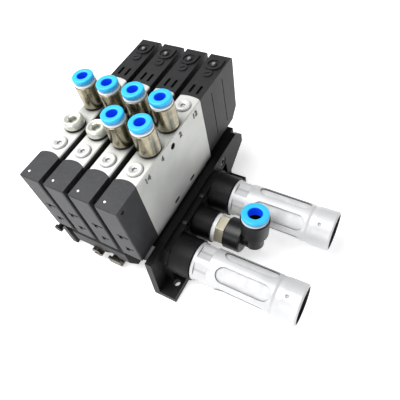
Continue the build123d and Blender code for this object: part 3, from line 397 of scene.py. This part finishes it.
def turned(name, profile, foot, up, radius=0.25, bore=None, steps=turn_steps, hexed=()):
    """Sweeps a closed (radius, height) loop, in millimetres, round the line through foot along up:
    point(a, k) = foot + r_k (cos a * e1 + sin a * e2) + h_k * up.  Each foot gives one copy.
    Corners listed in hexed lie on a hexagon instead: r = r_k / cos w, where w is the angle from
    the middle of the nearest flat."""
    loop = rounded(profile, radius) * MM
    up = np.asarray(up, float) / np.linalg.norm(up)
    e1 = np.cross(up, (0.0, 1.0, 0.0))
    e1 /= np.linalg.norm(e1)
    e2 = np.cross(up, e1)
    angle = np.linspace(0, 2 * np.pi, steps, endpoint=False)
    around = np.cos(angle)[:, None] * e1 + np.sin(angle)[:, None] * e2
    from_flat = np.mod(angle, np.pi / 3) - np.pi / 6
    six = np.repeat(np.isin(np.arange(len(profile)), hexed), len(corner_steps))
    stretch = np.where(six[None, :], 1 / np.cos(from_flat)[:, None], 1.0)
    reach = loop[None, :, 0] * stretch
    shape = reach[:, :, None] * around[:, None, :] + loop[None, :, 1:] * up
    feet = np.atleast_2d(np.asarray(foot, float))
    points = (feet[:, None, None, :] + shape[None]).reshape(-1, 3)
    rows, columns = np.meshgrid(np.arange(steps), np.arange(len(loop)), indexing="ij")
    next_row, next_column = (rows + 1) % steps, (columns + 1) % len(loop)
    count = len(loop)
    quads = np.stack([rows * count + columns, next_row * count + columns,
                      next_row * count + next_column, rows * count + next_column], -1).reshape(-1, 4)
    quads = (quads[None] + np.arange(len(feet))[:, None, None] * steps * count).reshape(-1, 4)
    mesh = bpy.data.meshes.new(name)
    mesh.from_pydata(points.tolist(), [], quads.tolist())
    if bore is not None:
        mask = bore(loop / MM).astype(np.float32)
        layer = mesh.attributes.new("bore", "FLOAT", "POINT")
        layer.data.foreach_set("value", np.tile(mask, steps * len(feet)))
    return finish_mesh(name, mesh)


def finish_mesh(name, mesh):
    """Smooth shading, normals turned outwards, and an object at the origin."""
    work = bmesh.new()
    work.from_mesh(mesh)
    bmesh.ops.recalc_face_normals(work, faces=work.faces)
    work.to_mesh(mesh)
    work.free()
    mesh.polygons.foreach_set("use_smooth", np.ones(len(mesh.polygons), bool))
    piece = bpy.data.objects.new(name, mesh)
    bpy.context.scene.collection.objects.link(piece)
    return piece


def corners(node):
    """Lowest and highest corner of a construction node, as arrays."""
    low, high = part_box(node)
    return np.array(low), np.array(high)


def dress(piece, slot, body="root", stands_for=(), finish=None):
    """Slot, body and the construction nodes that this piece stands for; the finish is the slot's
    unless the piece brings its own."""
    piece.data.materials.append(finish or finishes[slot])
    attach(piece, body)
    if stands_for:
        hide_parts(*stands_for)


print("turning helper: steps", turn_steps)

# %% [markdown]
# ## Push-in fittings
# Each fitting is a nickel-plated turned body on a black sealing ring, a white guide in its
# mouth, and the blue ring that one presses to free the tube. The ring slides, so it is a piece
# of its own that rides on its own body. Heights are read from the construction's boxes.

# %% Fittings, guides and release rings
mounts = {mount["name"]: mount for mount in record["mounts"]}
fitting_count = sum(name.startswith("tube_port_") for name in mounts)
upright = (0, 0, 1)
thread_r, bore_r, mouth_r, guide_bore_r = 4.8, 3.1, 5.4, 4.4
foot_mm, mouth_mm, shoulder_mm, rim_mm, rim_deep = 7.0, 5.0, 0.7, 0.45, 0.5
guide_tall, guide_low_mm, guide_deep, guide_inset, press_gap = 1.1, 0.4, 2.3, 0.3, 0.05
flange_mm, stem_r, ring_bore_r, ring_soft = 2.3, 4.25, 3.1, 0.35


def in_ring_bore(bore_radius, top):
    """1 on the inner wall of a ring, fading to 0 over the chamfer at its rim."""
    chamfer_wide, chamfer_low, fade_mm = 0.35, 0.15, 0.3

    def mask(loop):
        inside = np.clip((bore_radius + chamfer_wide - loop[:, 0]) / fade_mm, 0, 1)
        return inside * np.clip((top - chamfer_low - loop[:, 1]) / fade_mm, 0, 1)
    return mask


def ring_profile(outer, stem, inner, low, top, stem_low):
    """Flange with a dished top and a stem below it."""
    dish_wide, dish_deep, bore_rim = 1.2, 0.1, 0.6
    return [(outer, low), (outer, top - rim_mm), (outer - rim_mm, top), (inner + dish_wide, top),
            (inner + bore_rim / 2, top - dish_deep), (inner, top - bore_rim), (inner, stem_low),
            (stem, stem_low), (stem, low)]


guide_feet = []
for i in range(1, fitting_count + 1):
    low, high = corners(f"fitting_{i}")
    centre = (low + high) / 2
    tall = (high[2] - low[2]) / MM
    outer = (high[0] - low[0]) / 2 / MM
    shell_top = tall - guide_low_mm
    shell_profile = [(bore_r, 0), (thread_r, 0), (thread_r, foot_mm), (outer - shoulder_mm, foot_mm),
                     (outer, foot_mm + shoulder_mm), (outer, shell_top - rim_deep),
                     (outer - rim_mm, shell_top), (mouth_r, shell_top), (mouth_r, tall - mouth_mm),
                     (bore_r, tall - mouth_mm)]
    foot = (centre[0], centre[1], low[2])
    shell = turned(f"fitting_shell_{i}", shell_profile, foot, upright, radius=0.3)
    dress(shell, "nickel_brass", "root", [f"fitting_{i}"])
    guide_feet.append((centre[0], centre[1], high[2]))
    ring_low, ring_high = corners(f"release_ring_{i}")
    ring_outer = (ring_high[0] - ring_low[0]) / 2 / MM
    ring_tall = (ring_high[2] - ring_low[2]) / MM
    profile = ring_profile(ring_outer, stem_r, ring_bore_r, ring_tall - flange_mm, ring_tall, 0.0)
    ring_foot = (centre[0], centre[1], ring_low[2])
    ring = turned(f"blue_ring_{i}", profile, ring_foot, upright, radius=ring_soft,
                  bore=in_ring_bore(ring_bore_r, ring_tall))
    dress(ring, "release_blue", f"release_ring_{i}", [f"release_ring_{i}"])
# the fittings are alike, so the last one's radius serves every guide
guide_top = guide_tall - guide_low_mm
guide_outer = outer - guide_inset
guide_profile = [(guide_bore_r, -guide_deep), (mouth_r - press_gap, -guide_deep),
                 (mouth_r - press_gap, -guide_low_mm), (guide_outer, -guide_low_mm),
                 (guide_outer, guide_top), (guide_bore_r, guide_top)]
guides = turned("white_guides", guide_profile, guide_feet, upright, radius=0.25)
dress(guides, "cartridge_white", "root", ["fitting_cartridges"])
print("fittings:", fitting_count)

# %% [markdown]
# ## Valve screws and blanking plugs
# Pan-head screws hold each valve down at both ends, and two ports are closed by plugs. Both are
# turned and then broached with a hexagon socket. The cone round the socket, worn bright by the
# key, and the dark hexagon are what the eye reads, so both are swept from their own section:
# the corners that belong to the socket follow a hexagon, the others a circle.

# %% Screws and plugs
screw_r, screw_tip = 1.5, -6.0
screw_head_r, screw_rim_mm, screw_top_r, screw_head_mm = 4.7, 0.9, 4.2, 1.6
cone_top_r, cone_foot_r, cone_foot_mm = 3.0, 1.9, 0.85
screw_socket_r, screw_socket_top, screw_socket_low = 1.4, 0.8, -0.3
screw_profile = [(axis_r, screw_socket_low), (axis_r, screw_tip), (screw_r, screw_tip), (screw_r, 0),
                 (screw_head_r, 0), (screw_head_r, screw_rim_mm), (screw_top_r, screw_head_mm),
                 (cone_top_r, screw_head_mm), (cone_foot_r, cone_foot_mm),
                 (screw_socket_r, screw_socket_top), (screw_socket_r, screw_socket_low)]
plug_tip, plug_foot_r, plug_foot_mm, seal_mm = -6.9, 5.8, 0.5, 1.0
plug_r, plug_rim_mm, plug_top_r, plug_mm = 6.3, 3.9, 5.3, 5.2
dish_top_r, dish_foot_r, dish_foot_mm = 4.5, 3.4, 4.3
plug_socket_r, plug_socket_top, plug_socket_low = 2.55, 4.2, 1.4
plug_profile = [(axis_r, plug_socket_low), (axis_r, plug_tip), (thread_r, plug_tip), (thread_r, 0),
                (plug_foot_r, 0), (plug_r, plug_foot_mm), (plug_r, plug_rim_mm),
                (plug_top_r, plug_mm), (dish_top_r, plug_mm), (dish_foot_r, dish_foot_mm),
                (plug_socket_r, plug_socket_top), (plug_socket_r, plug_socket_low)]
screw_hexed, plug_hexed = (9, 10), (10, 11)
screw_low, screw_high = corners("valve_screws")
front_y, rear_y = screw_low[1] + screw_head_r * MM, screw_high[1] - screw_head_r * MM
rear_port_y, front_port_y = (mounts[name]["pos_m"][1] for name in ("tube_port_1", "tube_port_5"))
plugged_valves = 2
screw_feet, plug_feet = [], []
for i in valves:
    low, high = corners(f"valve_body_{i}")
    middle = (low[0] + high[0]) / 2
    screw_feet += [(middle, front_y, high[2]), (middle, rear_y, high[2])]
    if i <= plugged_valves:
        plug_feet.append((middle, front_port_y, high[2] + seal_mm * MM))
screws = turned("pan_screws", screw_profile, screw_feet, upright, radius=0.25, steps=72,
                hexed=screw_hexed)
dress(screws, "screw_steel", "root", ["valve_screws"])
plugs = turned("hex_plugs", plug_profile, plug_feet, upright, radius=0.35, steps=72,
               hexed=plug_hexed)
dress(plugs, "nickel_brass", "root", ["blanking_plugs"], plug_nickel)
print("screws:", len(screw_feet), "plugs:", len(plug_feet))

# %% [markdown]
# ## Override buttons
# Each pilot has a small button with a grey core in a dark collar. It is pressed with a pin, so
# it moves on its own, and its two colours are moulded in one after the other. The mask that the
# rings use for their bore says here where the core is.

# %% Override buttons
core_r, core_step, collar_edge, collar_low, groove_low = 1.15, 0.2, 0.5, 0.1, 0.35


def in_core(loop):
    """1 on the grey core and 0 on the dark collar round it."""
    return (loop[:, 0] < core_r) * 1.0


for i in valves:
    low, high = corners(f"override_button_{i}")
    foot = ((low[0] + high[0]) / 2, (low[1] + high[1]) / 2, low[2])
    outer, tall = (high[0] - low[0]) / 2 / MM, (high[2] - low[2]) / MM
    collar_top = tall - collar_low
    profile = [(axis_r, 0.0), (outer, 0.0), (outer, tall - collar_edge),
               (outer - collar_edge, collar_top), (core_r + core_step, collar_top),
               (core_r, tall - groove_low), (core_r - core_step, tall), (axis_r, tall)]
    button = turned(f"button_{i}", profile, foot, upright, radius=0.1, bore=in_core, steps=48)
    dress(button, "button_plastic", f"override_button_{i}", [f"override_button_{i}"])
print("buttons:", valve_count, "core", core_r, "mm")

# %% [markdown]
# ## Elbow ring
# The same ring, larger, on an outlet that leans. Its axis comes from the tube port's mount, so
# the piece follows the construction whatever the lean is.

# %% Elbow ring
port = mounts["supply_tube_port"]
outlet_up = np.array(port["axis"], float)
outlet_foot = np.array(port["pos_m"], float)
elbow_ring_bore, elbow_stem, elbow_outer = 4.3, 5.75, 8.3
ring_rise, ring_reach = 15.4, 7.0
elbow_profile = ring_profile(elbow_outer, elbow_stem, elbow_ring_bore, ring_rise - flange_mm, ring_rise,
                             ring_rise - ring_reach)
elbow_ring = turned("blue_ring_elbow", elbow_profile, outlet_foot, outlet_up, radius=ring_soft,
                    bore=in_ring_bore(elbow_ring_bore, ring_rise))
dress(elbow_ring, "release_blue", "elbow_ring", ["elbow_release_ring"])
print("elbow ring rise", ring_rise, "mm above the middle of the tube bore")

# %% [markdown]
# ## Status lamps
# A white light guide ends in a round pocket in the top of each front cap and stands 0.3 mm
# proud of it. It could be a small sphere, but the same turning gives the flat dome with its
# straight side: a profile carried round its own axis, once for each cap.

# %% Status lamps
lamp_r, lamp_rise, lamp_low, lamp_edge = 0.7, 0.3, -0.4, 0.1
lamp_from_middle, lamp_from_front = 3.2, 4.5
lamp_feet = []
for i in valves:
    low, high = corners(f"front_cap_{i}")
    lamp_x = (low[0] + high[0]) / 2 - lamp_from_middle * MM
    lamp_feet.append((lamp_x, low[1] + lamp_from_front * MM, high[2]))
lamp_profile = [(axis_r, lamp_low), (lamp_r, lamp_low), (lamp_r, lamp_edge),
                (lamp_r * 0.7, lamp_rise * 0.8), (axis_r, lamp_rise)]
# lamps: white dots that look just lit
lamp_glow, _, _ = new_material("clear_polycarbonate_lit_white", IOR=1.58, Roughness=0.25,
                               Base_Color=linear("FAFAFA"), Emission_Color=linear("FFFFFF"),
                               Emission_Strength=0.25)
lamps = turned("status_lamps", lamp_profile, lamp_feet, upright, radius=0.2, steps=32)
dress(lamps, "cartridge_white", finish=lamp_glow)
print("status lamps:", len(lamp_feet))

# %% [markdown]
# ## Port numerals
# Valve bodies carry cast numerals beside their screws and ports. They are plain numbers, raised
# 0.4 mm. They could be painted on, but raised strokes catch an edge of light from any side: a
# text curve is given its depth, made a mesh, and its points are then moved to the side wall.

# %% Port numerals
# a screw's box is a few microns short of its circle, so places are taken to the nearest 0.1 mm
places = [round(y, 4) for y in (front_y, front_port_y, rear_port_y, rear_y)]
numerals = list(zip(("14", "4", "2", "12"), places))
em_per_height = 1.35
numeral_tall, numeral_depth, numeral_drop = 4.0, 0.4, 4.6


def side_numerals(name, side, wall_x, top):
    """Flat text drawn in (s, t) is laid on the wall: y = y0 + side*s, z = top - drop + t,
    and its thickness runs along x, half of it proud of the wall."""
    parts = []
    for text, y in numerals:
        curve = bpy.data.curves.new(f"{name}_{text}", "FONT")
        curve.body = text
        curve.size = numeral_tall * MM * em_per_height
        curve.align_x = "CENTER"
        curve.align_y = "CENTER"
        curve.extrude = numeral_depth * MM
        curve.resolution_u = 3
        holder = bpy.data.objects.new("numeral_holder", curve)
        mesh = bpy.data.meshes.new_from_object(holder)
        points = np.empty(len(mesh.vertices) * 3)
        mesh.vertices.foreach_get("co", points)
        points = points.reshape(-1, 3)
        placed = np.stack([wall_x + side * points[:, 2], y + side * points[:, 0],
                           top - numeral_drop * MM + points[:, 1]], -1)
        mesh.vertices.foreach_set("co", placed.ravel())
        parts.append(mesh)
        bpy.data.objects.remove(holder)
    work = bmesh.new()
    for mesh in parts:
        work.from_mesh(mesh)
        bpy.data.meshes.remove(mesh)
    bmesh.ops.recalc_face_normals(work, faces=work.faces)
    joined = bpy.data.meshes.new(name)
    work.to_mesh(joined)
    work.free()
    piece = bpy.data.objects.new(name, joined)
    bpy.context.scene.collection.objects.link(piece)
    dress(piece, "body_casting", finish=numeral_casting)


low, high = corners(f"valve_body_{valve_count}")
side_numerals("numerals_supply_side", 1, high[0], high[2])
low, high = corners("valve_body_1")
side_numerals("numerals_closed_side", -1, low[0], high[2])
print("numerals:", [text for text, y in numerals])

# %% [markdown]
# ## Camera
# The camera stands well above the supply end's front corner and looks down on the stack. It is
# turned some degrees about its line of sight, as when a hand-held camera is not level. Angles
# could give the same view, but where the camera stands, the point that it looks at and that turn
# are easier to adjust one at a time.

# %% Camera
camera_at = Vector((147.24, -112.10, 250.46)) * MM
look_at = Vector((56.84, -7.60, 60.0)) * MM
camera_roll_deg = -14.74
lens_mm = 37.6
camera_data = bpy.data.cameras.new("studio_camera")
camera_data.lens = lens_mm
camera_data.sensor_width = 36.0
camera_data.clip_start = 0.01
camera = bpy.data.objects.new("studio_camera", camera_data)
bpy.context.scene.collection.objects.link(camera)
aim = (look_at - camera_at).to_track_quat("-Z", "Y").to_matrix().to_4x4()
roll = Matrix.Rotation(math.radians(camera_roll_deg), 4, "Z")
camera.matrix_world = Matrix.Translation(camera_at) @ aim @ roll
bpy.context.scene.camera = camera
print("camera lens", lens_mm, "mm")

# %% [markdown]
# ## Floor and studio light
# A pale floor that runs out of sight, one broad soft box above and to the left, a weaker one in
# front, a faint one on the right and a pale surround: the plain catalogue set-up for black and
# silver parts. The surround is dimmer on the right, so that nickel and black plastic keep a
# darker side. The floor glows a little, because a lit sheet alone would look grey.


# %% Floor and light
floor_half, floor_drop, floor_glow = 3.0, 0.0002, 0.45
bpy.ops.mesh.primitive_plane_add(size=2 * floor_half, location=(0, 0, -floor_drop))
floor = bpy.context.object
floor.name = "studio_floor"
paper, _, _ = new_material("pale_paper", Roughness=0.9, Base_Color=linear("F6F6F6"),
                           Emission_Color=linear("FFFFFF"), Emission_Strength=floor_glow)
floor.data.materials.append(paper)


def soft_box(name, place, target, size, power):
    """A rectangular light of the given size in metres and power in watts, aimed at the target."""
    light = bpy.data.lights.new(name, "AREA")
    light.shape = "RECTANGLE"
    light.size, light.size_y = size
    light.energy = power
    lamp = bpy.data.objects.new(name, light)
    lamp.location = place
    lamp.rotation_euler = (Vector(target) - Vector(place)).to_track_quat("-Z", "Y").to_euler()
    bpy.context.scene.collection.objects.link(lamp)


aimed_at = (0.03, 0.0, 0.05)
soft_boxes = [("key_box", (-0.25, -0.1, 0.75), aimed_at, (0.6, 0.5), 6.8),
              ("front_box", (0.0, -0.8, 0.35), aimed_at, (0.5, 0.4), 2.0),
              ("side_box", (0.8, 0.25, 0.4), aimed_at, (0.5, 0.5), 0.5)]
for box in soft_boxes:
    soft_box(*box)
bright_side = (-0.8, -0.35, 0.5)
dim, bright = 0.22, 0.62
world = bpy.data.worlds.new("studio_surround")
world.use_nodes = True
sky = world.node_tree
surround = sky.nodes["Background"]
surround.inputs["Color"].default_value = linear("FFFFFF")
direction = add(sky, "ShaderNodeTexCoord")
towards = add(sky, "ShaderNodeVectorMath", {0: direction.outputs["Generated"], 1: bright_side},
              operation="DOT_PRODUCT")
level = add(sky, "ShaderNodeMapRange", {"Value": towards.outputs["Value"], "From Min": -0.9,
                                        "From Max": 0.9, "To Min": dim, "To Max": bright})
sky.links.new(level.outputs["Result"], surround.inputs["Strength"])
bpy.context.scene.world = world
bpy.context.scene.view_settings.view_transform = "Standard"
print("lights:", len(soft_boxes))
